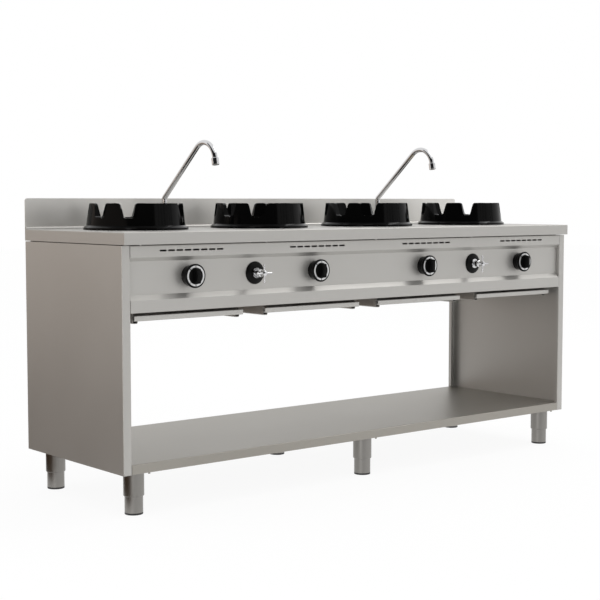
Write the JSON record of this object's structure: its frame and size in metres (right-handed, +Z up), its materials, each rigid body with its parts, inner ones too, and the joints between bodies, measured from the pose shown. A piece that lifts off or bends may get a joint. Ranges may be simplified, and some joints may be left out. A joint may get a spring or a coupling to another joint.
{
  "type": "wok range",
  "caption": "Free-standing gas wok range with notched pan rings, drip trays, swivel water spouts, a pot shelf and levelling legs.",
  "frame": {"origin": "on the floor under the middle of the whole range", "axes": "+X from left to right along the range, +Y from the control panel to the back, +Z up"},
  "size_m": [2, 0.629, 1.1421],
  "materials": {
    "worktop_steel": "satin brushed stainless sheet",
    "case_steel": "satin brushed stainless sheet",
    "shelf_steel": "satin brushed stainless sheet",
    "leg_steel": "satin stainless tube on a black plastic base",
    "tray_steel": "bright stainless sheet",
    "enamelled_iron": "gloss black enamel",
    "burner_iron": "matt casting",
    "burner_brass": "machined",
    "pipe_steel": "zinc plated pipe",
    "brass": "machined",
    "spindle_steel": "turned",
    "copper_pipe": "drawn copper",
    "black_plastic": "satin moulding",
    "dial_metal": "satin, with engraved marks",
    "chrome": "polished"
  },
  "bodies": {
    "frame": {"worktop": "worktop_steel", "side_panel_left": "case_steel", "side_panel_right": "case_steel", "fascia": "case_steel", "rear_panel": "case_steel", "bottom_shelf": "shelf_steel", "leg_rails": "case_steel", "leg_sleeves": "leg_steel", "bay_walls": "case_steel", "burner_brackets": "burner_iron", "gas_manifold": "pipe_steel", "gas_valve_bodies": "brass", "knob_bezels": "black_plastic", "dial_rings": "dial_metal", "burner_feeds": "brass", "pilot_burners": "burner_brass", "water_pipes": "copper_pipe", "tap_valves": "brass", "tap_rosettes": "black_plastic", "spout_bases": "chrome", "burner_body_1": "burner_iron", "burner_body_2": "burner_iron", "burner_body_3": "burner_iron", "burner_body_4": "burner_iron"},
    "foot_front_left": {"foot_front_left": "leg_steel"},
    "foot_rear_left": {"foot_rear_left": "leg_steel"},
    "foot_front_middle": {"foot_front_middle": "leg_steel"},
    "foot_rear_middle": {"foot_rear_middle": "leg_steel"},
    "foot_front_right": {"foot_front_right": "leg_steel"},
    "foot_rear_right": {"foot_rear_right": "leg_steel"},
    "wok_ring_1": {"wok_ring_1": "enamelled_iron"},
    "burner_cap_1": {"burner_cap_1": "burner_brass"},
    "drip_tray_1": {"drip_tray_1": "tray_steel"},
    "valve_plug_1": {"valve_plug_1": "brass"},
    "knob_1": {"spindle_1": "spindle_steel", "knob_1": "black_plastic"},
    "wok_ring_2": {"wok_ring_2": "enamelled_iron"},
    "burner_cap_2": {"burner_cap_2": "burner_brass"},
    "drip_tray_2": {"drip_tray_2": "tray_steel"},
    "valve_plug_2": {"valve_plug_2": "brass"},
    "knob_2": {"spindle_2": "spindle_steel", "knob_2": "black_plastic"},
    "wok_ring_3": {"wok_ring_3": "enamelled_iron"},
    "burner_cap_3": {"burner_cap_3": "burner_brass"},
    "drip_tray_3": {"drip_tray_3": "tray_steel"},
    "valve_plug_3": {"valve_plug_3": "brass"},
    "knob_3": {"spindle_3": "spindle_steel", "knob_3": "black_plastic"},
    "wok_ring_4": {"wok_ring_4": "enamelled_iron"},
    "burner_cap_4": {"burner_cap_4": "burner_brass"},
    "drip_tray_4": {"drip_tray_4": "tray_steel"},
    "valve_plug_4": {"valve_plug_4": "brass"},
    "knob_4": {"spindle_4": "spindle_steel", "knob_4": "black_plastic"},
    "tap_handle_left": {"tap_handle_left": "chrome"},
    "spout_left": {"spout_left": "chrome", "aerator_left": "chrome"},
    "tap_handle_right": {"tap_handle_right": "chrome"},
    "spout_right": {"spout_right": "chrome", "aerator_right": "chrome"}
  },
  "joints": [
    {"name": "foot_front_left_screw", "type": "slide", "parent": "frame", "child": "foot_front_left", "axis": [0, 0, -1], "range_m": [0, 0.05]},
    {"name": "foot_rear_left_screw", "type": "slide", "parent": "frame", "child": "foot_rear_left", "axis": [0, 0, -1], "range_m": [0, 0.05]},
    {"name": "foot_front_middle_screw", "type": "slide", "parent": "frame", "child": "foot_front_middle", "axis": [0, 0, -1], "range_m": [0, 0.05]},
    {"name": "foot_rear_middle_screw", "type": "slide", "parent": "frame", "child": "foot_rear_middle", "axis": [0, 0, -1], "range_m": [0, 0.05]},
    {"name": "foot_front_right_screw", "type": "slide", "parent": "frame", "child": "foot_front_right", "axis": [0, 0, -1], "range_m": [0, 0.05]},
    {"name": "foot_rear_right_screw", "type": "slide", "parent": "frame", "child": "foot_rear_right", "axis": [0, 0, -1], "range_m": [0, 0.05]},
    {"name": "wok_ring_1_lift", "type": "slide", "parent": "frame", "child": "wok_ring_1", "axis": [0, 0, 1], "range_m": [0, 0.15]},
    {"name": "burner_cap_1_lift", "type": "slide", "parent": "frame", "child": "burner_cap_1", "axis": [0, 0, 1], "range_m": [0, 0.12]},
    {"name": "drip_tray_1_slide", "type": "slide", "parent": "frame", "child": "drip_tray_1", "axis": [0, -1, 0], "range_m": [0, 0.4]},
    {"name": "knob_1_turn", "type": "hinge", "parent": "frame", "child": "valve_plug_1", "pos_m": [-0.75, -0.2565, 0.715], "axis": [0, -1, 0], "range_deg": [0, 180]},
    {"name": "knob_1_push", "type": "slide", "parent": "valve_plug_1", "child": "knob_1", "axis": [0, 1, 0], "range_m": [0, 0.004], "stiffness_N_per_m": 1000, "springref_m": -0.004},
    {"name": "wok_ring_2_lift", "type": "slide", "parent": "frame", "child": "wok_ring_2", "axis": [0, 0, 1], "range_m": [0, 0.15]},
    {"name": "burner_cap_2_lift", "type": "slide", "parent": "frame", "child": "burner_cap_2", "axis": [0, 0, 1], "range_m": [0, 0.12]},
    {"name": "drip_tray_2_slide", "type": "slide", "parent": "frame", "child": "drip_tray_2", "axis": [0, -1, 0], "range_m": [0, 0.4]},
    {"name": "knob_2_turn", "type": "hinge", "parent": "frame", "child": "valve_plug_2", "pos_m": [-0.25, -0.2565, 0.715], "axis": [0, -1, 0], "range_deg": [0, 180]},
    {"name": "knob_2_push", "type": "slide", "parent": "valve_plug_2", "child": "knob_2", "axis": [0, 1, 0], "range_m": [0, 0.004], "stiffness_N_per_m": 1000, "springref_m": -0.004},
    {"name": "wok_ring_3_lift", "type": "slide", "parent": "frame", "child": "wok_ring_3", "axis": [0, 0, 1], "range_m": [0, 0.15]},
    {"name": "burner_cap_3_lift", "type": "slide", "parent": "frame", "child": "burner_cap_3", "axis": [0, 0, 1], "range_m": [0, 0.12]},
    {"name": "drip_tray_3_slide", "type": "slide", "parent": "frame", "child": "drip_tray_3", "axis": [0, -1, 0], "range_m": [0, 0.4]},
    {"name": "knob_3_turn", "type": "hinge", "parent": "frame", "child": "valve_plug_3", "pos_m": [0.25, -0.2565, 0.715], "axis": [0, -1, 0], "range_deg": [0, 180]},
    {"name": "knob_3_push", "type": "slide", "parent": "valve_plug_3", "child": "knob_3", "axis": [0, 1, 0], "range_m": [0, 0.004], "stiffness_N_per_m": 1000, "springref_m": -0.004},
    {"name": "wok_ring_4_lift", "type": "slide", "parent": "frame", "child": "wok_ring_4", "axis": [0, 0, 1], "range_m": [0, 0.15]},
    {"name": "burner_cap_4_lift", "type": "slide", "parent": "frame", "child": "burner_cap_4", "axis": [0, 0, 1], "range_m": [0, 0.12]},
    {"name": "drip_tray_4_slide", "type": "slide", "parent": "frame", "child": "drip_tray_4", "axis": [0, -1, 0], "range_m": [0, 0.4]},
    {"name": "knob_4_turn", "type": "hinge", "parent": "frame", "child": "valve_plug_4", "pos_m": [0.75, -0.2565, 0.715], "axis": [0, -1, 0], "range_deg": [0, 180]},
    {"name": "knob_4_push", "type": "slide", "parent": "valve_plug_4", "child": "knob_4", "axis": [0, 1, 0], "range_m": [0, 0.004], "stiffness_N_per_m": 1000, "springref_m": -0.004},
    {"name": "tap_left_turn", "type": "hinge", "parent": "frame", "child": "tap_handle_left", "pos_m": [-0.5, -0.2565, 0.715], "axis": [0, -1, 0], "range_deg": [0, 90]},
    {"name": "spout_left_swivel", "type": "hinge", "parent": "frame", "child": "spout_left", "pos_m": [-0.5, 0.2501, 0.895], "axis": [0, 0, 1], "continuous": true},
    {"name": "tap_right_turn", "type": "hinge", "parent": "frame", "child": "tap_handle_right", "pos_m": [0.5, -0.2565, 0.715], "axis": [0, -1, 0], "range_deg": [0, 90]},
    {"name": "spout_right_swivel", "type": "hinge", "parent": "frame", "child": "spout_right", "pos_m": [0.5, 0.2501, 0.895], "axis": [0, 0, 1], "continuous": true}
  ]
}
